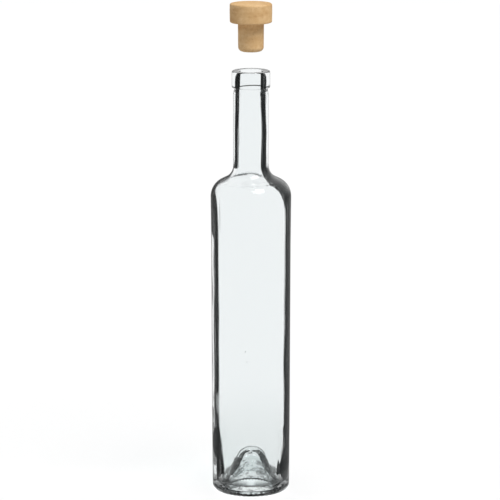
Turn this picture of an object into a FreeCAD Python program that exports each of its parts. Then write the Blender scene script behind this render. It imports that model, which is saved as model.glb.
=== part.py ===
import FreeCAD, Part
import os
import re
import Sketcher

# A slim, clear glass bottle with a straight neck, a high rounded shoulder and a deep push-up,
# and the wide-headed cork stopper that belongs in its mouth, lifted straight out of it.
# Millimetres, +Z up. The origin is the middle of the foot, on the surface that the bottle stands on.

doc = FreeCAD.newDocument("CorkedBottle")

# ---------------------------------------------------------------- driving dimensions
DIMENSIONS = {
    # bottle, outside
    "height": 322.8,             # foot to mouth
    "neck_length": 78,           # mouth down to where neck and shoulder slope would meet
    "neck_radius": 13.3,
    "flare_round": 10,           # hollow round from the slope into the neck
    "slope_rise": 8.2,           # climb of the shoulder slope from the wall to the neck
    "shoulder_round": 14,
    "shoulder_depth": 10.6,      # the wall has its full width from this far below the slope
    "body_radius": 30.25,        # widest, at the shoulder; the body narrows very slowly downwards
    "panel_top_inset": 0.35,
    "panel_top_depth": 46.6,     # below the slope
    "panel_low_inset": 0.65,
    "panel_low_height": 60,
    "foot_side_inset": 1.05,     # side wall at the heel
    "heel_round": 4.5,
    # bottle, the ring round the mouth and the waist under it
    "ring_overhang": 1,          # beyond the neck
    "ring_height": 12.6,
    "ring_edge": 1,
    "ring_under_edge": 0.5,
    "waist_inset": 0.7,          # inside the neck's surface
    "waist_height": 1.6,
    "waist_taper": 3.4,
    # bottle, inside
    "bore_radius": 9.4,          # the cylinder that grips the cork
    "bore_depth": 26,
    "bore_taper": 20,            # the bore opens over this length to the neck's own inside
    "lip_edge": 0.8,
    "neck_wall": 3.3,
    "shoulder_wall": 3.3,
    "body_wall": 3.5,
    "thick_start": 52,           # the wall thickens from here down to the base
    "thick_wall": 6.2,
    "thick_height": 19,
    "gutter_height": 7.4,        # lowest part of the inside, a narrow ring round the push-up
    "gutter_inset": 0.6,         # inside the thickened wall
    "gutter_width": 2.5,
    "gutter_round": 1.1,
    "dome_cover": 5.4,           # glass between the top of the push-up and the drink
    "dome_top_radius": 8.2,
    "dome_round": 11,
    # bottle, underneath
    "foot_width": 8.8,           # the ring that it stands on
    "foot_step": 1.6,
    "foot_inner_round": 0.6,
    "punt_inset": 2.4,           # inside the standing ring
    "punt_height": 25.6,
    "punt_top_radius": 5.9,
    "punt_round": 8,
    # bottle, the notches that leave fine ridges all round the foot
    "notch_count": 46,
    "notch_width": 1.5,
    "notch_depth": 0.5,
    # stopper
    "stopper_gap": 14.4,         # mouth to the lower end of the lifted stopper
    "plug_squeeze": 0.4,         # the cork is this much larger all round than the bore
    "plug_clearance": 4.4,       # the bore is this much deeper than the plug is long
    "plug_taper": 0.25,
    "plug_end_round": 3.4,
    "head_height": 14.4,
    "head_overhang": 1.6,        # beyond the ring that the head sits on
    "head_edge": 1.1,
}

sheet = doc.addObject("Spreadsheet::Sheet", "Sizes")
for row, (alias, size) in enumerate(DIMENSIONS.items(), start=1):
    sheet.set(f"A{row}", alias)
    sheet.set(f"B{row}", str(size))
    sheet.setAlias(f"B{row}", alias)
doc.recompute()


# ---------------------------------------------------------------- helpers
def sized(text):
    """A formula on the sheet's aliases, written as the document's expressions need it."""
    return re.sub(r"[a-z_]+", lambda word: named_cell(word.group()), text)


def named_cell(word):
    return f"Sizes.{word}" if word in DIMENSIONS else word


def value(text):
    """The number that a formula gives."""
    return float(sheet.evalExpression(sized(text)))


def origin_part(body, role):
    """One of a body's own origin planes or axes."""
    return next(part for part in body.Origin.OriginFeatures if part.Role == role)


def new_body(label):
    body = doc.addObject("PartDesign::Body", label)
    body.Label = label
    return body


def draw_outline(body, name, plane, corners):
    """A closed sketch of straight lines, with every corner's place bound to the sheet."""
    sketch = body.newObject("Sketcher::SketchObject", name)
    sketch.AttachmentSupport = [(origin_part(body, plane), "")]
    sketch.MapMode = "FlatFace"
    places = [FreeCAD.Vector(value(across), value(up), 0) for across, up in corners]
    for index, place in enumerate(places):
        following = places[(index + 1) % len(places)]
        sketch.addGeometry(Part.LineSegment(place, following), False)
    for index, (across, up) in enumerate(corners):
        previous = (index - 1) % len(corners)
        sketch.addConstraint(Sketcher.Constraint("Coincident", previous, 2, index, 1))
        bind_corner(sketch, index, "DistanceX", f"across{index}", across)
        bind_corner(sketch, index, "DistanceY", f"up{index}", up)
    sketch.Visibility = False
    return sketch


def bind_corner(sketch, line, direction, name, text):
    """Holds the start of a line at a distance from the sketch's origin."""
    held = sketch.addConstraint(Sketcher.Constraint(direction, -1, 1, line, 1, value(text)))
    sketch.renameConstraint(held, name)
    if text != "0":
        sketch.setExpression(f"Constraints.{name}", sized(text))


def turn(body, kind, name, corners):
    """Turns an outline of (distance from the axis, height) corners about the upright axis."""
    sketch = draw_outline(body, f"{name}Outline", "XZ_Plane", corners)
    feature = body.newObject(kind, name)
    feature.Profile = sketch
    feature.ReferenceAxis = (sketch, ["V_Axis"])
    feature.Angle = 360
    doc.recompute()


def is_ring(edge, radius, height):
    if not isinstance(edge.Curve, Part.Circle):
        return False
    centre = edge.Curve.Center
    return abs(edge.Curve.Radius - radius) < 0.01 and abs(centre.z - height) < 0.01


def round_rings(body, name, size, rings):
    """Rounds the circular edges at each (radius, height)."""
    base = body.Tip
    edges = []
    for across, up in rings:
        found = [
            f"Edge{number}"
            for number, edge in enumerate(base.Shape.Edges, start=1)
            if is_ring(edge, value(across), value(up))
        ]
        if not found:
            raise RuntimeError(f"{name}: no edge at {across}, {up}")
        edges += found
    feature = body.newObject("PartDesign::Fillet", name)
    feature.Base = (base, edges)
    feature.setExpression("Radius", sized(size))
    doc.recompute()


# ---------------------------------------------------------------- bottle
RING_FOOT = "height - ring_height"
WAIST_FOOT = f"{RING_FOOT} - waist_height"
NECK_TOP = f"{WAIST_FOOT} - waist_taper"
SLOPE_TOP = "height - neck_length"
SHOULDER_CORNER = f"{SLOPE_TOP} - slope_rise"
SHOULDER_FOOT = f"{SHOULDER_CORNER} - shoulder_depth"
PANEL_TOP = f"{SHOULDER_CORNER} - panel_top_depth"
RING_RADIUS = "neck_radius + ring_overhang"
WAIST_RADIUS = "neck_radius - waist_inset"
PANEL_TOP_RADIUS = "body_radius - panel_top_inset"
PANEL_LOW_RADIUS = "body_radius - panel_low_inset"
FOOT_SIDE_RADIUS = "body_radius - foot_side_inset"
# The inside of the shoulder lies one wall inside its slope, so its corners are this much lower.
INNER_DROP = "shoulder_wall * tan(atan((body_radius - neck_radius) / slope_rise) / 2)"
INNER_CORNER = f"{SHOULDER_CORNER} - {INNER_DROP}"
INNER_SLOPE_TOP = f"{SLOPE_TOP} - {INNER_DROP}"
INNER_BODY = "body_radius - body_wall"
INNER_NECK = "neck_radius - neck_wall"
GUTTER_OUTER = f"{FOOT_SIDE_RADIUS} - thick_wall - gutter_inset"
GUTTER_INNER = f"{GUTTER_OUTER} - gutter_width"
DOME_HEIGHT = "punt_height + dome_cover"
FOOT_INNER = f"{FOOT_SIDE_RADIUS} - foot_width"


def turn_outside(body):
    turn(body, "PartDesign::Revolution", "Outside", [
        ("0", "0"),
        (FOOT_SIDE_RADIUS, "0"),
        (PANEL_LOW_RADIUS, "panel_low_height"),
        (PANEL_TOP_RADIUS, PANEL_TOP),
        ("body_radius", SHOULDER_FOOT),
        ("body_radius", SHOULDER_CORNER),
        ("neck_radius", SLOPE_TOP),
        ("neck_radius", NECK_TOP),
        (WAIST_RADIUS, WAIST_FOOT),
        (WAIST_RADIUS, RING_FOOT),
        (RING_RADIUS, RING_FOOT),
        (RING_RADIUS, "height"),
        ("0", "height"),
    ])
    round_rings(body, "HeelRound", "heel_round", [(FOOT_SIDE_RADIUS, "0")])
    round_rings(body, "ShoulderRound", "shoulder_round", [("body_radius", SHOULDER_CORNER)])
    round_rings(body, "FlareRound", "flare_round", [("neck_radius", SLOPE_TOP)])
    round_rings(body, "RingUnderEdge", "ring_under_edge", [(RING_RADIUS, RING_FOOT)])
    round_rings(body, "RingEdge", "ring_edge", [(RING_RADIUS, "height")])


def hollow_out(body):
    turn(body, "PartDesign::Groove", "Inside", [
        ("0", "height + ring_edge"),
        ("bore_radius", "height + ring_edge"),
        ("bore_radius", "height - bore_depth"),
        (INNER_NECK, "height - bore_depth - bore_taper"),
        (INNER_NECK, INNER_SLOPE_TOP),
        (INNER_BODY, INNER_CORNER),
        (INNER_BODY, SHOULDER_FOOT),
        (f"{PANEL_TOP_RADIUS} - body_wall", PANEL_TOP),
        (f"{PANEL_LOW_RADIUS} - body_wall", "thick_start"),
        (f"{FOOT_SIDE_RADIUS} - thick_wall", "thick_height"),
        (GUTTER_OUTER, "gutter_height"),
        (GUTTER_INNER, "gutter_height"),
        ("dome_top_radius", DOME_HEIGHT),
        ("0", DOME_HEIGHT),
    ])
    round_rings(body, "LipEdge", "lip_edge", [("bore_radius", "height")])
    round_rings(body, "InnerShoulderRound", "shoulder_round - shoulder_wall", [(INNER_BODY, INNER_CORNER)])
    round_rings(body, "InnerFlareRound", "flare_round + shoulder_wall", [(INNER_NECK, INNER_SLOPE_TOP)])
    round_rings(body, "GutterRound", "gutter_round",
                [(GUTTER_OUTER, "gutter_height"), (GUTTER_INNER, "gutter_height")])
    round_rings(body, "DomeRound", "dome_round", [("dome_top_radius", DOME_HEIGHT)])


def push_up(body):
    turn(body, "PartDesign::Groove", "Punt", [
        ("0", "-foot_step"),
        (FOOT_INNER, "-foot_step"),
        (FOOT_INNER, "foot_step"),
        (f"{FOOT_INNER} - punt_inset", "2 * foot_step"),
        ("punt_top_radius", "punt_height"),
        ("0", "punt_height"),
    ])
    round_rings(body, "PuntRound", "punt_round", [("punt_top_radius", "punt_height")])
    round_rings(body, "FootInnerRound", "foot_inner_round", [(FOOT_INNER, "0")])


def notch_foot(body):
    """One radial notch, half a pitch off the X axis, repeated all round the standing ring."""
    inner = f"{FOOT_INNER} - notch_width"
    outer = f"{FOOT_SIDE_RADIUS} + notch_width"
    sketch = draw_outline(body, "NotchOutline", "XY_Plane", [
        (inner, "-notch_width / 2"),
        (outer, "-notch_width / 2"),
        (outer, "notch_width / 2"),
        (inner, "notch_width / 2"),
    ])
    sketch.setExpression("AttachmentOffset.Rotation.Angle", sized("180 / notch_count"))
    notch = body.newObject("PartDesign::Pocket", "Notch")
    notch.Profile = sketch
    notch.Reversed = True
    notch.setExpression("Length", sized("notch_depth"))
    doc.recompute()
    ridges = body.newObject("PartDesign::PolarPattern", "Ridges")
    ridges.Originals = [notch]
    ridges.Axis = (origin_part(body, "Z_Axis"), [""])
    ridges.Angle = 360
    ridges.setExpression("Occurrences", sized("notch_count"))
    body.Tip = ridges
    doc.recompute()


def make_bottle():
    body = new_body("bottle")
    turn_outside(body)
    hollow_out(body)
    push_up(body)
    before = body.Shape.Volume
    notch_foot(body)
    print(f"glass {body.Shape.Volume / 1000:.1f} cm3, notches took {before - body.Shape.Volume:.1f} mm3")
    return body


# ---------------------------------------------------------------- stopper
PLUG_RADIUS = "bore_radius + plug_squeeze"
PLUG_END_RADIUS = f"{PLUG_RADIUS} - plug_taper"
PLUG_LENGTH = "bore_depth - plug_clearance"
HEAD_RADIUS = f"{RING_RADIUS} + head_overhang"
HEAD_TOP = f"{PLUG_LENGTH} + head_height"


def make_stopper():
    """Head and plug are one piece of cork, upright on the bottle's axis."""
    body = new_body("stopper")
    turn(body, "PartDesign::Revolution", "Cork", [
        ("0", "0"),
        (PLUG_END_RADIUS, "0"),
        (PLUG_RADIUS, PLUG_LENGTH),
        (HEAD_RADIUS, PLUG_LENGTH),
        (HEAD_RADIUS, HEAD_TOP),
        ("0", HEAD_TOP),
    ])
    round_rings(body, "PlugEndRound", "plug_end_round", [(PLUG_END_RADIUS, "0")])
    round_rings(body, "HeadEdges", "head_edge", [(HEAD_RADIUS, PLUG_LENGTH), (HEAD_RADIUS, HEAD_TOP)])
    body.setExpression("Placement.Base.z", sized("height + stopper_gap"))
    doc.recompute()
    return body


# ---------------------------------------------------------------- checks and files
def check(body, least_volume):
    shape = body.Shape
    if shape.isNull() or not shape.isValid() or len(shape.Solids) != 1:
        raise RuntimeError(f"{body.Label} is not one valid solid")
    if shape.Volume < least_volume:
        raise RuntimeError(f"{body.Label} has lost material")


bottle = make_bottle()
stopper = make_stopper()
doc.recompute()
for item in doc.Objects:
    if {"Invalid", "Error"} & set(item.State):
        raise RuntimeError(f"{item.Name} failed: {item.State}")
check(bottle, value("height * neck_wall * neck_radius"))
check(stopper, value(f"head_height * ({HEAD_RADIUS}) ^ 2"))

os.makedirs("parts", exist_ok=True)
for body in (bottle, stopper):
    body.Shape.exportStep(f"parts/{body.Label}.step")
    box = body.Shape.optimalBoundingBox()
    print(f"{body.Label}: {box.XLength:.2f} x {box.YLength:.2f} mm, z {box.ZMin:.2f} to {box.ZMax:.2f}")
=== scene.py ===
# %% [markdown]
# # A clear glass bottle and its cork stopper
#
# The bottle is one shell of glass: a foot with fine ridges, a deep push-up, a body that is almost
# straight, a round shoulder, a neck and a ring at the mouth. The stopper floats above it, pulled out.
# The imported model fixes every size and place. Here each piece is made again as a finer mesh that
# stands in the same space, and gets its finish.

# %% Load the frame
import random
from math import atan2, ceil, cos, exp, hypot, pi, radians, sin, tan

import bmesh
import bpy
from mathutils import Matrix, Vector, noise
from mathutils.bvhtree import BVHTree


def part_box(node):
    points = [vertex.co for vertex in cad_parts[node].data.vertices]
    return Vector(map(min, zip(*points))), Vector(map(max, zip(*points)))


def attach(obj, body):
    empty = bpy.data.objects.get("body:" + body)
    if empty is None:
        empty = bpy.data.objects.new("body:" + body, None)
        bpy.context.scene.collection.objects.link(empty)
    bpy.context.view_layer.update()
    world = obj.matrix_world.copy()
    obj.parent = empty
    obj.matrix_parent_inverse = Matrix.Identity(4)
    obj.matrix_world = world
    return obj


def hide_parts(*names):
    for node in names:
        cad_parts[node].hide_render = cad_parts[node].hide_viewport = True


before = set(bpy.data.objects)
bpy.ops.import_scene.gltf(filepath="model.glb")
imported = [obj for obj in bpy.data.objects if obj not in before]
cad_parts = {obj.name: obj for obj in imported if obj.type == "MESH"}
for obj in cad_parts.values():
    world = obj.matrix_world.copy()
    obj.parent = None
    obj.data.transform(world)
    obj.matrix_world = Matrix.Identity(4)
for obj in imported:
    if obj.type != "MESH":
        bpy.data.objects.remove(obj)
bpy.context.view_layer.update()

glass_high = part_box("bottle")[1]
cork_low, cork_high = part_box("stopper")

# %% [markdown]
# ## Sizes
#
# Heights and radii are in millimetres, because that is how a glassmaker reads them. The two that
# matter most, the mouth's height and the widest radius, are measured on the frame, so what hangs
# on them follows if the model is made anew a little larger.

# %% Sizes of the glass
MM = 0.001
MOUTH = glass_high.z / MM             # height of the lip
WIDEST = glass_high.x / MM            # radius under the shoulder
NECK = 13.3
RING = 14.3
RING_FOOT = MOUTH - 12.6
WAIST = 12.6                          # radius of the groove under the ring
WAIST_FOOT = RING_FOOT - 1.6
NECK_TOP = WAIST_FOOT - 3.4
SLOPE_TOP = MOUTH - 78                # where the shoulder's slope meets the neck
SHOULDER = SLOPE_TOP - 8.2            # where it meets the side
SHOULDER_ROUND = 14
FLARE_ROUND = 10                      # the hollow round between slope and neck
FULL_HEIGHT = SHOULDER - 10.6         # the side has its widest radius from here up
NEARLY_FULL_HEIGHT = SHOULDER - 46.6
NEARLY_FULL = WIDEST - 0.35
LOW_SIDE = WIDEST - 0.65
HEEL = WIDEST - 1.05
HEEL_ROUND = 4.5
FOOT_INNER = HEEL - 8.8               # inner radius of the ring that the bottle stands on
FOOT_EDGE = 1.6                       # height of the foot's inner edge
BORE = 9.4
BORE_FOOT = MOUTH - 26                # below this the neck's inside widens
NECK_WALL = 3.3
BODY_WALL = 3.5
THICK_WALL = 6.2                      # low on the side
GUTTER = HEEL - THICK_WALL - 0.6      # the lowest ring of the inside, round the push-up
GUTTER_HEIGHT = 7.4
PUNT = 25.6                           # height of the push-up under the base
DOME = PUNT + 5.4                     # and of the glass above it
print(f"mouth {MOUTH:.1f} mm up, widest radius {WIDEST:.2f} mm")

# %% [markdown]
# ## Turned outlines
#
# Both pieces are round, so both are turned like a pot on a lathe. An outline is a short list of
# corners, each with its distance from the axis, its height and the radius of its round. It could be
# typed as dozens of points, but a corner that carries its own round stays readable and gives true
# arcs: a straight run is an edge, and a round is the last vertex spun about the round's centre.


# %% Find the round of a corner
def tangent_round(before, corner, after, size):
    """Where a round of this size starts, its centre, and the angle it turns through."""
    back = (before - corner).normalized()
    on = (after - corner).normalized()
    half = back.angle(on) / 2
    start = corner + back * (size / tan(half))
    end = corner + on * (size / tan(half))
    centre = corner + (back + on).normalized() * (size / sin(half))
    return start, centre, (start - centre).angle_signed(end - centre)


# %% Draw an outline
LONGEST_TURN = 7         # degrees of a round in one step, at most
FEWEST_STEPS = 3         # steps in a round, at least


def run_to(shape, last, place):
    """Adds a straight run to a place given as (radius, height) in millimetres."""
    point = shape.verts.new((place[0] * MM, 0, place[1] * MM))
    if last:
        shape.edges.new((last, point))
    return point


def draw_outline(shape, corners, longest):
    """Draws (radius, height, round) corners as an outline: rounds are spun, long runs are divided."""
    places = [Vector(corner[:2]) for corner in corners]
    last = run_to(shape, None, places[0])
    first_edges = set(shape.edges)
    for index in range(1, len(corners) - 1):
        size = corners[index][2]
        if not size:
            last = run_to(shape, last, places[index])
            continue
        start, centre, turn = tangent_round(*places[index - 1:index + 2], size)
        last = run_to(shape, last, start)
        spun = bmesh.ops.spin(
            shape, geom=[last], cent=(centre.x * MM, 0, centre.y * MM), axis=(0, 1, 0),
            angle=turn, steps=max(FEWEST_STEPS, ceil(abs(turn) / radians(LONGEST_TURN))))
        last = next(part for part in spun["geom_last"] if isinstance(part, bmesh.types.BMVert))
    run_to(shape, last, places[-1])
    for edge in [edge for edge in shape.edges if edge not in first_edges]:
        cuts = ceil(edge.calc_length() / (longest * MM)) - 1
        if cuts > 0:
            bmesh.ops.subdivide_edges(shape, edges=[edge], cuts=cuts)
    return [edge for edge in shape.edges if edge not in first_edges]


# %% [markdown]
# ### Spinning
#
# A single full spin would do, but it adds a step at a time to a mesh that grows, which is slow for
# a fine one. So a narrow slice is spun finely, and then the slice is repeated. The foot has 46 fine
# ridges, and with as many slices every ridge comes out the same.

# %% Spin the outlines
RIDGES = 46              # fine ridges round the foot, and slices in a turned piece
STEPS_IN_SLICE = 6
MERGE_WITHIN = 1e-7      # metres between two points that are one


def turned(walls):
    """Turns outlines all the way round into one closed shape.

    Each wall is (corners, longest run in millimetres, material slot).
    """
    shape = bmesh.new()
    outlines = [(draw_outline(shape, corners, longest), slot) for corners, longest, slot in walls]
    for outline, slot in outlines:
        old_faces = set(shape.faces)
        points = list(dict.fromkeys(point for edge in outline for point in edge.verts))
        bmesh.ops.spin(
            shape, geom=points + outline, cent=(0, 0, 0), axis=(0, 0, 1),
            angle=2 * pi / RIDGES, steps=STEPS_IN_SLICE)
        for face in shape.faces:
            if face not in old_faces:
                face.material_index = slot
                face.smooth = True
    bmesh.ops.spin(
        shape, geom=shape.verts[:] + shape.edges[:] + shape.faces[:], cent=(0, 0, 0), axis=(0, 0, 1),
        angle=2 * pi * (1 - 1 / RIDGES), steps=RIDGES - 1, use_duplicate=True)
    bmesh.ops.remove_doubles(shape, verts=shape.verts, dist=MERGE_WITHIN)
    bmesh.ops.recalc_face_normals(shape, faces=shape.faces)
    shape.normal_update()
    print("open edges", sum(edge.is_boundary for edge in shape.edges))
    return shape


def finished_piece(name, shape, *finishes):
    """Makes an object of a closed shape, with one finish for each material slot."""
    mesh = bpy.data.meshes.new(name)
    shape.to_mesh(mesh)
    shape.free()
    for finish in finishes:
        mesh.materials.append(finish)
    piece = bpy.data.objects.new(name, mesh)
    bpy.context.scene.collection.objects.link(piece)
    triangles = sum(len(polygon.vertices) - 2 for polygon in mesh.polygons)
    print(name, triangles, "triangles")
    return piece


# %% [markdown]
# ## Writing materials
#
# A material is a tree of nodes. Two small classes let the tree be written as sums: a `Wire` is the
# output of a node, and using it in an expression adds the Math nodes. Every other node comes from
# one call that names its type, its settings and what goes into its sockets.


# %% A wire
class Wire:
    """A node's output, for use in expressions."""

    def __init__(self, tree, socket):
        self.tree = tree
        self.socket = socket

    def maths(self, operation, first, second, clamp=False):
        return self.tree.node(
            "ShaderNodeMath", {"operation": operation, "use_clamp": clamp}, {0: first, 1: second})

    def __add__(self, other):
        return self.maths("ADD", self, other)

    def __radd__(self, other):
        return self.maths("ADD", other, self)

    def __sub__(self, other):
        return self.maths("SUBTRACT", self, other)

    def __rsub__(self, other):
        return self.maths("SUBTRACT", other, self)

    def __mul__(self, other):
        return self.maths("MULTIPLY", self, other)

    def __rmul__(self, other):
        return self.maths("MULTIPLY", other, self)

    def __truediv__(self, other):
        return self.maths("DIVIDE", self, other)

    def held(self):
        """Kept between 0 and 1."""
        return self.maths("ADD", self, 0.0, clamp=True)

    def past(self, start, width):
        """0 up to the start, then rising to 1 over the width."""
        return ((self - start) / width).held()

    def or_else(self, other):
        """The larger of the two."""
        return self.maths("MAXIMUM", self, other)


# %% A tree
class Tree:
    """The nodes of a material or of the world."""

    def __init__(self, owner):
        owner.use_nodes = True
        self.nodes = owner.node_tree.nodes
        self.links = owner.node_tree.links
        self.nodes.clear()

    def node(self, kind, settings=None, sockets=None, output=0):
        made = self.nodes.new(kind)
        for name, setting in (settings or {}).items():
            if name == "stops":
                self.set_stops(made.color_ramp, setting)
            else:
                setattr(made, name, setting)
        for name, given in (sockets or {}).items():
            if isinstance(given, Wire):
                self.links.new(given.socket, made.inputs[name])
            else:
                made.inputs[name].default_value = given
        return Wire(self, made.outputs[output]) if len(made.outputs) else None

    def set_stops(self, ramp, stops):
        while len(ramp.elements) < len(stops):
            ramp.elements.new(1.0)
        for element, (place, colour) in zip(ramp.elements, stops):
            element.position = place
            element.color = colour

    def light_path(self, output):
        return self.node("ShaderNodeLightPath", output=output)

    def seen_directly(self):
        """1 where the camera looks straight at it, in a mirror or through glass, and 0 for soft light."""
        by_glass = self.light_path("Is Glossy Ray").or_else(self.light_path("Is Transmission Ray"))
        return self.light_path("Is Camera Ray").or_else(by_glass)

    def mix_finishes(self, factor, first, second):
        return self.node("ShaderNodeMixShader", {}, {0: factor, 1: first, 2: second})

    def mix_colours(self, factor, first, second):
        """A Mix node keeps its sockets for colours at 6 and 7, and their result at 2."""
        return self.node("ShaderNodeMix", {"data_type": "RGBA"}, {0: factor, 6: first, 7: second}, 2)


def new_material(name):
    material = bpy.data.materials.new(name)
    return material, Tree(material)


# %% [markdown]
# ## Glass
#
# Clear glass shows by its edges. Seen through the round wall, the bright room behind is bent aside,
# and where the ray meets the inside of the wall at a steep slant, the eye gets the dark of the room
# instead: two dark bands run up the bottle, just inside its outline, wider where the wall is thicker.
# A white room all round would lose them, and dark boards beside the bottle would suit one camera
# only. So the bands are painted shade: the inner surface's glass is mixed with a dark finish
# between two slants, worked out from how thick the wall is there, which each vertex carries as its
# own number. That holds from every side. The outline itself, where glass mirrors almost everything,
# gets a thin painted grey.

# %% What all the glass shares
GLASS_TINT = (0.919, 0.939, 0.943, 1)
LOW_TINT = (0.866, 0.892, 0.893, 1)    # towards the foot the glass is tinted darker
MIRROR_TINT = (0.35, 0.35, 0.35, 1)      # keeps the white room's mirror image faint
# painted shade: a dark finish that stands in for a dark room seen through the glass
PAINTED_DARK_ROOM = (0.012, 0.014, 0.014, 1)
LAMP_TINT = (0.93, 0.94, 0.94, 1)        # what the glass leaves of a lamp's light
GLASS_IOR = 1.52
RELIEF_FADE = 30                         # painted relief shade fades where the slant is under 1/30


def carried(tree, name):
    """A number that each vertex carries."""
    return tree.node("ShaderNodeAttribute", {"attribute_name": name}, output="Fac")


def slant(tree):
    """0 where the surface is looked at squarely, and 1 where it is looked along."""
    return tree.node("ShaderNodeLayerWeight", {}, {"Blend": 0.5}, "Facing")


def band(tree, rise, fall):
    """1 between a vertex's two slants, where glass is painted dark, with edges as soft as given."""
    begun = slant(tree).past(carried(tree, "dark_from"), rise)
    not_over = carried(tree, "dark_to").past(slant(tree), fall)
    return begun * not_over


def painted_relief_lines(tree):
    """The painted shade of fine relief, which fades where it is looked at squarely."""
    return carried(tree, "relief") * (slant(tree) * RELIEF_FADE).held()


def finish_glass(tree, painted_darkness):
    """Clear glass, mixed by a factor with a painted dark finish, that lets lamps through."""
    clear = tree.node("ShaderNodeBsdfPrincipled", {}, {
        "Base Color": tree.mix_colours(carried(tree, "low"), GLASS_TINT, LOW_TINT),
        "Roughness": 0.0,
        "IOR": GLASS_IOR,
        "Transmission Weight": 1.0,
        "Specular Tint": MIRROR_TINT,
    })
    # painted shade: the dark finish mixed in where the glass is to look dark
    dark = tree.node("ShaderNodeBsdfDiffuse", {}, {"Color": PAINTED_DARK_ROOM})
    seen = tree.mix_finishes(painted_darkness, clear, dark)
    lamp = tree.node("ShaderNodeBsdfTransparent", {}, {"Color": LAMP_TINT})
    tree.node("ShaderNodeOutputMaterial", {}, {
        "Surface": tree.mix_finishes(tree.light_path("Is Shadow Ray"), seen, lamp)})


# %% [markdown]
# ### The inner surface
#
# This one carries the painted bands. All faces point away from the glass, so a ray within it meets
# their backs, and the Backfacing output tells it from a ray in the air. Thin pale streaks run up
# through the painted bands, and soft patches of painted shade lie in the thick base. Both are
# noise, drawn out by a Mapping node, which needs no image and no unwrapping.

# %% The finish of the inside
STREAK_SCALE = (700, 700, 22)
STREAK_LIGHT = 0.3       # how much of the painted dark a streak takes away
BASE_SHADE_SCALE = (170, 170, 420)
BASE_SHADE_FADE = 8            # the painted base shade fades where the slant is under 1/8
BASE_SHADE_DARK = 0.5
INSIDE_DARK = 0.985


def drawn_out_noise(tree, places, scale, detail):
    """Noise that is stretched along the axes where the scale is small."""
    drawn_out = tree.node("ShaderNodeMapping", {}, {"Vector": places, "Scale": scale})
    return tree.node("ShaderNodeTexNoise", {}, {"Vector": drawn_out, "Scale": 1.0, "Detail": detail})


def glass_inside():
    material, tree = new_material("glass_inside")
    from_within = tree.node("ShaderNodeNewGeometry", output="Backfacing")
    # painted shade: the bands, the bore's wall within the ring, relief lines and patches in the base
    from_air = slant(tree).past(carried(tree, "air_dark_from"), width=0.04) * (1 - from_within)
    places = tree.node("ShaderNodeTexCoord", output="Object")
    streaks = drawn_out_noise(tree, places, STREAK_SCALE, 1.0).past(0.56, width=0.1)
    base_shade_noise = drawn_out_noise(tree, places, BASE_SHADE_SCALE, 3.0).past(0.5, width=0.13)
    painted_base_shade = base_shade_noise * carried(tree, "caught") * (slant(tree) * BASE_SHADE_FADE).held()
    bands = band(tree, rise=0.015, fall=0.012) * from_within * (1 - STREAK_LIGHT * streaks)
    painted_darkness = bands.or_else(from_air).or_else(painted_relief_lines(tree)).or_else(BASE_SHADE_DARK * painted_base_shade)
    finish_glass(tree, INSIDE_DARK * painted_darkness)
    return material


# %% [markdown]
# ### The outer surface
#
# From the air it is painted darker into the outline, and a softer, fainter painted copy of the
# bands deepens them. From within it is painted dark past the slant at which light can't leave the
# glass, as much as each vertex says, which darkens the edges and the thick base. It could be left
# clear, and then both would look thin and pale.

# %% The finish of the outside
OUTLINE_DARK = 0.8
TRAPPED = 0.27           # the slant past which a ray can't leave the glass


def glass_outside():
    material, tree = new_material("glass_outside")
    from_within = tree.node("ShaderNodeNewGeometry", output="Backfacing")
    # painted shade: a dark outline, a copy of the bands, and dark where light can't leave the glass
    outline = slant(tree).past(carried(tree, "air_dark_from"), width=0.1) * OUTLINE_DARK
    painted_band_copy = band(tree, rise=0.06, fall=0.05) * carried(tree, "mirror")
    from_air = outline.or_else(painted_band_copy) * (1 - from_within)
    trapped = slant(tree).past(TRAPPED, width=0.05) * carried(tree, "caught") * from_within
    finish_glass(tree, (from_air + trapped).or_else(painted_relief_lines(tree)))
    return material


# %% [markdown]
# ## The bottle's mesh
#
# The mould shapes the outside, so that is exact, and the inside runs a wall's thickness within it.
# The outside, the inside and the push-up are three turned outlines that share their last points, so
# that merging doubles closes the shell. Solidify could give the wall its thickness from one outline,
# but then inside and outside could not differ.

# %% Turn the glass
OUTSIDE, INSIDE = 0, 1                # the two material slots
LIP_MIDDLE = (BORE + RING) / 2
slope_out = WIDEST - NECK
slope_up = SLOPE_TOP - SHOULDER
# The inner slope lies this far under the outer one, so that the wall keeps its thickness there.
INNER_DROP = NECK_WALL * (hypot(slope_out, slope_up) - slope_up) / slope_out

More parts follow.
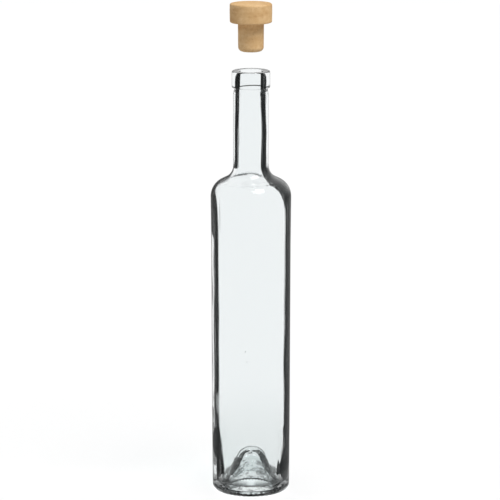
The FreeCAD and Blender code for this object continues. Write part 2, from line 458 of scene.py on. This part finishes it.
outside_corners = [
    (FOOT_INNER, FOOT_EDGE, 0),
    (FOOT_INNER, 0, 0.6),
    (HEEL, 0, HEEL_ROUND),
    (HEEL + 0.04, HEEL_ROUND + 1.1, 0),
    (HEEL + 0.06, HEEL_ROUND + 4, 0),
    (HEEL + 0.08, HEEL_ROUND + 6, 0),
    (LOW_SIDE, 60, 0),
    (NEARLY_FULL, NEARLY_FULL_HEIGHT, 0),
    (WIDEST, FULL_HEIGHT, 0),
    (WIDEST, SHOULDER, SHOULDER_ROUND),
    (NECK, SLOPE_TOP, FLARE_ROUND),
    (NECK, NECK_TOP, 2),
    (WAIST, WAIST_FOOT, 0.8),
    (WAIST, RING_FOOT, 0.4),
    (RING, RING_FOOT, 0.5),
    (RING, MOUTH, 1),
    (LIP_MIDDLE, MOUTH, 0),
]
inside_corners = [
    (LIP_MIDDLE, MOUTH, 0),
    (BORE, MOUTH, 0.8),
    (BORE, BORE_FOOT, 5),
    (NECK - NECK_WALL, MOUTH - 46, 20),
    (NECK - NECK_WALL, SLOPE_TOP - INNER_DROP, FLARE_ROUND + NECK_WALL),
    (WIDEST - BODY_WALL, SHOULDER - INNER_DROP, SHOULDER_ROUND - NECK_WALL),
    (WIDEST - BODY_WALL, FULL_HEIGHT, 0),
    (NEARLY_FULL - BODY_WALL, NEARLY_FULL_HEIGHT, 0),
    (LOW_SIDE - BODY_WALL, 52, 30),
    (HEEL - THICK_WALL, 19, 10),
    (GUTTER, GUTTER_HEIGHT, 1.1),
    (GUTTER - 2.5, GUTTER_HEIGHT, 1.1),
    (8.2, DOME, 11),
    (0, DOME, 0),
]
push_up_corners = [
    (0, PUNT, 0),
    (5.9, PUNT, 8),
    (FOOT_INNER - 2.4, 3.2, 0.5),
    (FOOT_INNER, FOOT_EDGE, 0),
]

glass = turned([
    (outside_corners, 9, OUTSIDE),
    (inside_corners, 4, INSIDE),
    (push_up_corners, 3, INSIDE),
])

# %% [markdown]
# ## An uneven inside
#
# Air shapes the inside, so no two walls are alike: the hollow leans a little, the wall swells and
# thins in slow waves and fine upright streaks, and it has a few thick and thin spots. A Displace
# modifier with textures could do it. Here a function of angle and height moves each point, so that
# a spot sits just where it widens or narrows a dark band, and the noise is the same on every run.

# %% Places, easing and noise
def place_of(point):
    """A vertex's distance from the axis in millimetres, its angle and its height in millimetres."""
    return hypot(point.co.x, point.co.y) / MM, atan2(point.co.y, point.co.x), point.co.z / MM


def held(value):
    """Kept between 0 and 1."""
    return min(max(value, 0), 1)


def eased(value, start=0, end=1):
    """0 at the start, 1 at the end and smooth between, whichever of the two is larger."""
    share = held((value - start) / (end - start))
    return share * share * (3 - 2 * share)


def wall_noise(angle, height, fineness, length, offset=(0, 0)):
    """Noise of -1 to 1 on the wall: finer round it with fineness, drawn out up it with length."""
    x = cos(angle) * fineness + offset[0]
    y = sin(angle) * fineness + offset[1]
    return noise.noise(Vector((x, y, height / length)))


def bulge(angle, height, at_angle, at_height, width_angle, width_height):
    """A soft spot on the wall: 1 in its middle, falling to 0 round it."""
    round_by = (angle - at_angle + pi) % (2 * pi) - pi
    return exp(-(round_by / width_angle) ** 2 - ((height - at_height) / width_height) ** 2)


# %% Make the inside uneven
LEAN = 0.4               # the hollow stands this far to the right, and high up to the left
NEAR_AXIS = 8            # millimetres, within which the dome's middle lies
WAVES = [                # depth in millimetres, fineness, length, offset
    (0.22, 1.3, 45, (0, 0)),
    (0.11, 3.5, 30, (5, 2)),
    (0.05, 14, 160, (1, 7)),
]
SPOTS = [                # depth in millimetres, angle, height, width of angle, width of height
    (-2.6, 0, 236, 0.6, 9),       # the shoulder's thick right side
    (1.3, pi, 236, 1.1, 10),      # its thin left side
    (1.1, pi, 69, 0.5, 8),        # a thin spot low on the left
]


def outward_shift(angle, height):
    """How far the inner surface lies outside its true place, in millimetres."""
    shift = LEAN * (1 - 2 * eased(height, 200, 260)) * cos(angle)
    for depth, fineness, length, offset in WAVES:
        shift += depth * wall_noise(angle, height, fineness, length, offset)
    for depth, *spot in SPOTS:
        shift += depth * bulge(angle, height, *spot)
    return shift


def make_uneven(shape):
    """Moves the inner surface sideways, and fades this out at the mouth and the gutter."""
    shifts = []
    for point in shape.verts:
        radius, angle, height = place_of(point)
        faces_out = point.normal.xy.dot(point.co.xy) >= 0
        if faces_out or height < GUTTER_HEIGHT or radius < NEAR_AXIS:
            continue
        if any(face.material_index == OUTSIDE for face in point.link_faces):
            continue
        if height < DOME and radius < FOOT_INNER:
            continue         # the dome and the push-up stay true
        fade = eased(height, GUTTER_HEIGHT, GUTTER_HEIGHT + 25) * eased(height, MOUTH, MOUTH - 20)
        shifts.append(outward_shift(angle, height) * fade)
        point.co.xy *= 1 + shifts[-1] / radius
    print(f"inner surface shifted by {min(shifts):.2f} to {max(shifts):.2f} mm")


make_uneven(glass)

# %% [markdown]
# ## The ridged foot
#
# Fine ridges round the foot take the scratches that would weaken smooth glass. Each could be a
# small piece that a Boolean joins on, but the points are there already: they are lifted between
# the ridges, and the heel is drawn in there a little.

# %% Cut the ridges of the foot
NOTCH_DEPTH = 0.75
NOTCH_REACH = 3          # height at which the notches end
NOTCH_INWARD = 0.35


def cut_ridges(shape):
    """Lifts the foot between the fine ridges that it stands on."""
    between_ridges = 0
    for point in shape.verts:
        radius, angle, height = place_of(point)
        if height > NOTCH_REACH or radius < FOOT_INNER - 0.1:
            continue
        notch = held(0.5 - cos(angle * RIDGES))
        if height < NOTCH_DEPTH:
            point.co.z = max(height, NOTCH_DEPTH * notch) * MM
        on_heel = eased(radius, HEEL - 4, HEEL - 2) * (1 - height / NOTCH_REACH)
        point.co.xy *= 1 - NOTCH_INWARD * notch * on_heel / radius
        between_ridges += notch > 0
    print(between_ridges, "points of the foot lie between ridges")


cut_ridges(glass)

# %% [markdown]
# ## Where the wall is painted dark
#
# How wide a dark band looks depends on the wall's share of the radius there: a thick wall on a
# narrow neck hides more than a thin one on a wide body. Two slants say where the painted band
# begins and ends. They could be painted on as an image, but numbers on the vertices follow the wall
# and need no unwrapping. No blown bottle keeps to its formula, so the slants are then moved a little
# on the left and right, the neck, the shoulder and near the foot.

# %% The slants between which it is dark
NEVER = 1.2              # a slant that is never reached
BAND_START = 0.235       # the slant at which a thin wall turns dark
THICK_START = 0.2        # a thick wall turns dark earlier, by this times its share
BAND_END = 0.2           # the slant at which a thin wall clears
THICK_END = 0.731        # a thick wall clears later, by this times its share
TO_OUTLINE = 0.08        # added to its end, so that the band runs into the outline


def slants_within(share, angle, height):
    """The slants on the inner surface between which the glass is painted dark."""
    left, right = max(-cos(angle), 0), max(cos(angle), 0)
    on_neck = eased(height, SLOPE_TOP, SLOPE_TOP + 8)
    on_slope = eased(height, SHOULDER - 4, SHOULDER + 4) * (1 - on_neck)
    near_foot = eased(height, 52, 37)
    streaks = wall_noise(angle, height, 16, 60)
    gap = eased(height, SLOPE_TOP - 1.5, SLOPE_TOP + 0.5) * eased(height, SLOPE_TOP + 5, SLOPE_TOP + 3)

    dark_from = BAND_START - THICK_START * share
    dark_from += 0.07 * left * on_slope - 0.04 * right * on_neck
    dark_from += 0.05 * near_foot * (right * eased(height, 20, 28) + streaks)
    dark_from += NEVER * eased(left, 0, 0.5) * gap       # light shows where the neck leaves the slope

    dark_to = BAND_END + THICK_END * share
    dark_to += 0.3 * left * on_slope - 0.13 * eased(height, MOUTH - 6, MOUTH - 1)
    reaching = (right + left * eased(height, 195, 207)) * (1 - on_neck)
    dark_to += TO_OUTLINE * max(reaching, near_foot * eased(height, 26, 34))
    return dark_from, dark_to


def slant_outside(slant_inside, share):
    """The slant on the outer surface at which that inner slant is seen."""
    sine_inside = (1 - (1 - held(slant_inside)) ** 2) ** 0.5
    sine_outside = held(GLASS_IOR * (1 - share) * sine_inside)
    return 1 - (1 - sine_outside ** 2) ** 0.5


# %% [markdown]
# ### Painted shade of relief and caught light
#
# Edges that are sharper than the mesh show as fine dark lines: under the ring, in the gutter round
# the push-up and between the heel's ridges. They could be cut ever finer, but a painted shade that
# the vertices carry costs nothing. The lines under the ring and on the lip are painted towards +y
# only, and the gutter's mostly towards -y. In the thick base, where light is caught in the wall or
# folded by it, the glass is painted dark, and patches of noise break up this dark and the bands.

# %% Shades of fine relief
# strengths of painted shade at fine relief
RING_SHADE = 0.9
LIP_SHADE = 0.15
GUTTER_SHADE = 0.8
RIDGE_SHADE = 0.95
HEEL_SHADE = 0.6


def ridge_shade_pattern(angle, height):
    """Where painted shade falls between the heel's ridges, broken up here and there by noise."""
    broken_up = held(0.6 + 1.3 * wall_noise(angle, height, 6, 3))
    return (0.5 - 0.5 * cos(angle * RIDGES)) * broken_up


def painted_relief_shade(angle, height, radius):
    """Painted shade of fine moulded relief: the ring and lip behind, the gutter in front, the heel."""
    # painted shade tied to sides of the bottle: behind is towards +y, before towards -y
    behind = eased(sin(angle), -0.3, 0.2)
    before = eased(sin(angle), 0.4, -0.2)
    beside = eased(abs(cos(angle)), 0.55, 0.8)
    if -0.1 < height - RING_FOOT < 0.4 and radius > WAIST + 0.2:
        return RING_SHADE * behind
    if height > MOUTH - 0.4:
        return LIP_SHADE * behind
    if abs(height - GUTTER_HEIGHT) < 0.7 and GUTTER - 3 < radius < GUTTER + 1:
        return GUTTER_SHADE * before
    if height < HEEL_ROUND + 0.5 and radius > FOOT_INNER:
        return RIDGE_SHADE * ridge_shade_pattern(angle, height)
    if height < HEEL_ROUND + 4.5 and radius > FOOT_INNER:
        return HEEL_SHADE * beside
    return 0


# %% The outline, the broken band and caught light
OUTLINE_FROM = 0.8       # the slant at which the painted outline begins
OUTLINE_EARLIER = 0.22   # on the left of the shoulder it begins this much earlier
RING_LOSS = 0.2          # shares of painted shade where caught light is lost
HEEL_LOSS = 0.9
SIDE_LOSS = 0.8
PATCH_GAIN = 0.5         # this much less is lost in patches of the base
SHOULDER_GAIN = 0.7      # and on the shoulder


def on_shoulder(height):
    return eased(height, SHOULDER - 12, SHOULDER - 4) * eased(height, SLOPE_TOP + 8, SLOPE_TOP + 3)


def outline_from(angle, height):
    """The slant past which the outside is painted dark: a thin outline, wider on the thin shoulder."""
    if height > MOUTH - 0.3:
        return NEVER
    return OUTLINE_FROM - OUTLINE_EARLIER * eased(-cos(angle), -0.1, 0.4) * on_shoulder(height)


def break_in_band(angle, height):
    """Raises the slants low in the base, where thick glass breaks the painted band into patches."""
    patches = wall_noise(angle, height, 7, 3)
    beside = eased(abs(cos(angle)), 0.86, 0.96)
    return NEVER * eased(height, 13, 9) * eased(0.9 + 2.2 * patches - 1.1 * beside)


def band_ends_on_push_up(angle, height, radius):
    """Ends the painted band on the push-up, higher up towards its left and right."""
    if radius > FOOT_INNER or height > PUNT + 1:
        return 0
    end = 11 + 15 * abs(cos(angle))
    return NEVER * eased(height, end, end + 3)


def caught_light_shade(angle, height, radius, is_outer):
    """How dark the glass is painted where light is caught in the wall or folded by it."""
    if not is_outer:
        return eased(height, 24, 18) if radius < GUTTER else 0
    if height < HEEL_ROUND + 1:
        return HEEL_LOSS * ridge_shade_pattern(angle, height)
    if height > RING_FOOT + 1:
        return RING_LOSS
    patches = eased(0.5 + 2 * wall_noise(angle, height, 9, 2.2)) * eased(height, 24, 16)
    shoulder = on_shoulder(height) * eased(height, SHOULDER, SHOULDER + 3)
    return SIDE_LOSS - PATCH_GAIN * patches - SHOULDER_GAIN * shoulder


# %% [markdown]
# ### Measuring
#
# A ray from each vertex straight through the glass measures the wall behind it, so the bands
# follow every lump of the uneven inside. The numbers go into float layers of the mesh, which the
# materials read by name.

# %% Give each vertex its numbers
UNDER_SKIN = 0.1         # millimetres below the surface, where the ray starts
RING_DARK_FROM = 0.42    # the bore's wall is painted dark past this slant, within the ring
BAND_COPY_STRENGTH = 0.7           # strength of the painted outer copy of the bands
# all but low place painted shade; low tints the glass darker towards the foot
CARRIED = ("dark_from", "dark_to", "air_dark_from", "relief", "caught", "mirror", "low")


def wall_behind(tree, point):
    """The glass's thickness behind a vertex, in millimetres."""
    hit = tree.ray_cast(point.co - point.normal * UNDER_SKIN * MM, -point.normal)[0]
    return (hit - point.co).length / MM if hit else BODY_WALL


def numbers_inside(share, radius, angle, height):
    """What a vertex of the inner surface carries, where it differs from the outer one."""
    dark_from, dark_to = slants_within(share, angle, height)
    dark_from += break_in_band(angle, height) + band_ends_on_push_up(angle, height, radius)
    in_ring = RING_FOOT < height < MOUTH - 0.7
    return {
        "dark_from": dark_from,
        "dark_to": dark_to,
        "air_dark_from": RING_DARK_FROM if in_ring else NEVER,
    }


def numbers_outside(share, angle, height, tilt):
    """What a vertex of the outer surface carries, where it differs from the inner one."""
    dark_from, dark_to = slants_within(share, angle, height)
    return {
        "dark_from": slant_outside(dark_from, share),
        "dark_to": slant_outside(dark_to, share),
        "air_dark_from": outline_from(angle, height),
        "mirror": BAND_COPY_STRENGTH * eased(tilt, 0.6, 0.1) * eased(height, 8, 14),
    }


def measure_walls(shape):
    """Gives each vertex the slants of its painted dark, from the wall there, and its relief shade."""
    shape.normal_update()
    layers = {name: shape.verts.layers.float.new(name) for name in CARRIED}
    tree = BVHTree.FromBMesh(shape)
    outer = {point for face in shape.faces if face.material_index == OUTSIDE for point in face.verts}
    walls = []
    for point in shape.verts:
        radius, angle, height = place_of(point)
        wall = wall_behind(tree, point)
        walls.append(wall)
        if point in outer:
            share = wall / max(radius, NEAR_AXIS)
            numbers = numbers_outside(share, angle, height, abs(point.normal.z))
        else:
            share = wall / (max(radius, NEAR_AXIS) + wall)
            numbers = numbers_inside(share, radius, angle, height)
        numbers["relief"] = painted_relief_shade(angle, height, radius)
        numbers["caught"] = caught_light_shade(angle, height, radius, point in outer)
        numbers["low"] = eased(height, 90, 35)
        for name, number in numbers.items():
            point[layers[name]] = number
    middle = sorted(walls)[len(walls) // 2]
    print(f"{len(walls)} points measured, half of them with under {middle:.1f} mm of glass behind them")


measure_walls(glass)

# %% [markdown]
# ## Bubbles
#
# Glass keeps a few tiny bubbles, which glassmakers call seeds. A bubble could be a small ball of a
# material of its own, but it is only a hollow in the glass. So each is a ball in the wall, in the
# same mesh, whose faces point into the hollow: away from the glass, like all the others.

# %% Add a few bubbles
BUBBLES = 5
BUBBLE_SEED = 11
BUBBLE_HEIGHTS = (30, 180)
BUBBLE_RADII = (0.22, 0.4)


def add_bubbles(shape):
    """Puts a few round hollows into the middle of the near side's wall."""
    chance = random.Random(BUBBLE_SEED)
    for _ in range(BUBBLES):
        angle = chance.uniform(-pi, 0)
        height = chance.uniform(*BUBBLE_HEIGHTS)
        size = chance.uniform(*BUBBLE_RADII)
        outward = Vector((cos(angle), sin(angle), 0)) * (HEEL - BODY_WALL / 2)
        made = bmesh.ops.create_icosphere(
            shape, subdivisions=2, radius=size * MM,
            matrix=Matrix.Translation((outward + Vector((0, 0, height))) * MM))
        faces = list(dict.fromkeys(face for point in made["verts"] for face in point.link_faces))
        bmesh.ops.reverse_faces(shape, faces=faces)
        for face in faces:
            face.smooth = True
        print(f"bubble of radius {size:.2f} mm, {height:.0f} mm up")


add_bubbles(glass)
bottle = finished_piece("glass_bottle", glass, glass_outside(), glass_inside())
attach(bottle, "root")
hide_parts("bottle")

# %% [markdown]
# ## The stopper
#
# It is one piece of fine sanded cork: a wide head to pull by and a slightly tapered plug with a
# rounded end. A cylinder with bevels would give its shape, but sanding leaves the sides a little
# full and the edges soft, so it is turned from an outline, with the pores opened point by point.

# %% Turn the cork
PLUG_FOOT = cork_low.z / MM
HEAD_TOP = cork_high.z / MM
HEAD = cork_high.x / MM
HEAD_FOOT = HEAD_TOP - 14.4
PLUG = BORE + 0.4        # a little wider than the bore, so that it holds
CORK_RUN = 0.45          # longest run of its outline in millimetres, fine enough for pores

cork_corners = [
    (0, PLUG_FOOT, 0),
    (PLUG - 0.25, PLUG_FOOT, 3.4),
    (PLUG, HEAD_FOOT, 0.3),
    (HEAD - 0.15, HEAD_FOOT, 1.1),
    (HEAD, (HEAD_FOOT + HEAD_TOP) / 2 + 1, 30),
    (HEAD - 0.1, HEAD_TOP, 1.3),
    (0, HEAD_TOP, 0),
]
cork_shape = turned([(cork_corners, CORK_RUN, 0)])

# %% Sand it and open its pores
PORE_DEPTH = 0.16
PORE_SIZE = 0.13         # a pore's radius, as a share of the distance between pores
PORES_A_MM = 0.55


def pore_depth(place):
    """Small pits scattered over cork, round the nearest of many random points, in millimetres."""
    distances = noise.voronoi(place * PORES_A_MM)[0]
    return PORE_DEPTH * max(0, 1 - distances[0] / PORE_SIZE)


def weather_cork(shape):
    """Sanding waves and open pores, all inwards so that the cork keeps its size."""
    depths = []
    for point in shape.verts:
        place = point.co / MM
        wave = 0.05 * (1 + noise.noise(place * 0.18))
        grain = 0.02 * (1 + noise.noise(place * 1.6))
        depths.append(wave + grain + pore_depth(place))
        point.co -= point.normal * depths[-1] * MM
    print(f"cork taken in by {min(depths):.2f} to {max(depths):.2f} mm")


weather_cork(cork_shape)

# %% [markdown]
# ## The cork's finish
#
# Cork is a warm, matt brown: soft clouds in flat layers, a finer mottle, grains that differ in tone,
# and a few dark specks. An image would need unwrapping and would show its seams. Noise in the
# object's own space runs through the whole piece, as cork's grain does.

# %% Mix the tones of cork
CORK_TONES = [
    (0.32, (0.50, 0.285, 0.115, 1)),
    (0.46, (0.58, 0.362, 0.162, 1)),
    (0.56, (0.63, 0.408, 0.195, 1)),
    (0.70, (0.70, 0.475, 0.25, 1)),
]
SPECK_TONE = (0.30, 0.17, 0.075, 1)
SPECK_DARK = 0.5
LAYER_SCALE = (45, 45, 190)


def cork_finish():
    material, tree = new_material("cork")
    places = tree.node("ShaderNodeTexCoord", output="Object")
    grains = tree.node("ShaderNodeTexVoronoi", {}, {"Vector": places, "Scale": 620.0}, "Color")
    grain_tone = tree.node("ShaderNodeSeparateColor", {}, {"Color": grains}, "Red")
    mottle = tree.node("ShaderNodeTexNoise", {}, {"Vector": places, "Scale": 260.0, "Detail": 4.0})
    specks = tree.node("ShaderNodeTexNoise", {}, {"Vector": places, "Scale": 900.0, "Detail": 2.0})
    clouds = drawn_out_noise(tree, places, LAYER_SCALE, 2.0)
    tone = 0.12 * grain_tone + 0.24 * mottle + 0.64 * clouds
    brown = tree.node("ShaderNodeValToRGB", {"stops": CORK_TONES}, {"Fac": tone})
    speckled = tree.mix_colours(specks.past(0.66, width=0.06) * SPECK_DARK, brown, SPECK_TONE)
    height = 0.5 * mottle + 0.5 * specks
    bump = tree.node("ShaderNodeBump", {}, {"Strength": 0.35, "Distance": 0.0002, "Height": height})
    surface = tree.node("ShaderNodeBsdfPrincipled", {}, {
        "Base Color": speckled, "Roughness": 0.8, "Normal": bump, "Specular IOR Level": 0.4})
    tree.node("ShaderNodeOutputMaterial", {}, {"Surface": surface})
    return material


stopper = finished_piece("cork_stopper", cork_shape, cork_finish())
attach(stopper, "root")
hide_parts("stopper")

# %% [markdown]
# ## Floor and room
#
# A plain pale floor runs far out, and the world round it is white where it is looked at, straight
# or through the glass, and dimmer as a light, so that the cork keeps its shading. Light strong
# enough to make the floor white would bleach the cork, so a part of the floor's white is a glow
# that shows only where it is looked at.

# %% The floor and the world
ROOM_LIGHT = 0.37
FLOOR_GREY = 0.64
FLOOR_GLOW = 0.238
FLOOR_WIDTH = 60         # metres

bpy.ops.mesh.primitive_plane_add(size=FLOOR_WIDTH)
floor = bpy.context.object
floor.name = "floor"
material, tree = new_material("pale_floor")
lit = tree.node("ShaderNodeBsdfDiffuse", {}, {"Color": (FLOOR_GREY, FLOOR_GREY, FLOOR_GREY, 1)})
glow = tree.node("ShaderNodeEmission", {}, {"Strength": tree.seen_directly() * FLOOR_GLOW})
tree.node("ShaderNodeOutputMaterial", {}, {
    "Surface": tree.node("ShaderNodeAddShader", {}, {0: lit, 1: glow})})
floor.data.materials.append(material)

world = bpy.data.worlds.new("room")
bpy.context.scene.world = world
tree = Tree(world)
sky = tree.node("ShaderNodeBackground", {}, {
    "Color": (1, 1, 1, 1), "Strength": ROOM_LIGHT + (1 - ROOM_LIGHT) * tree.seen_directly()})
tree.node("ShaderNodeOutputWorld", {}, {"Surface": sky})
print("floor", FLOOR_WIDTH, "m wide, room at", ROOM_LIGHT, "of white")

# %% [markdown]
# ## Sun and camera
#
# A wide sun, high up and to the right in front, gives a soft shadow and the highlights on the
# shoulder. An area lamp could do that too, but its light falls off over the floor. The camera
# stands 2.1 m off and a little above, with a long lens, so the bottle's sides stay nearly upright.

# %% The sun and the camera
SUN_PLACE = (0.85, -0.95, 2.3)
SUN_STRENGTH = 3.0
SUN_WIDTH = 28           # degrees
CAMERA_PLACE = (-0.0007, -2.1, 0.6305)
CAMERA_TARGET = (-0.0007, 0, 0.1862)
LENS = 204.8             # millimetres
FARTHEST = 100           # metres


def aim(thing, place, target):
    """Puts a lamp or a camera at a place, turned towards its target."""
    thing.location = place
    thing.rotation_euler = (Vector(target) - Vector(place)).to_track_quat("-Z", "Y").to_euler()
    bpy.context.scene.collection.objects.link(thing)


sun = bpy.data.lights.new("sun", "SUN")
sun.energy = SUN_STRENGTH
sun.angle = radians(SUN_WIDTH)
aim(bpy.data.objects.new("sun", sun), SUN_PLACE, (0, 0, 0))

camera = bpy.data.cameras.new("camera")
camera.lens = LENS
camera.clip_end = FARTHEST
viewer = bpy.data.objects.new("camera", camera)
aim(viewer, CAMERA_PLACE, CAMERA_TARGET)
bpy.context.scene.camera = viewer
bpy.context.scene.view_settings.view_transform = "Standard"
print("camera", round((Vector(CAMERA_TARGET) - Vector(CAMERA_PLACE)).length, 2), "m from its target")
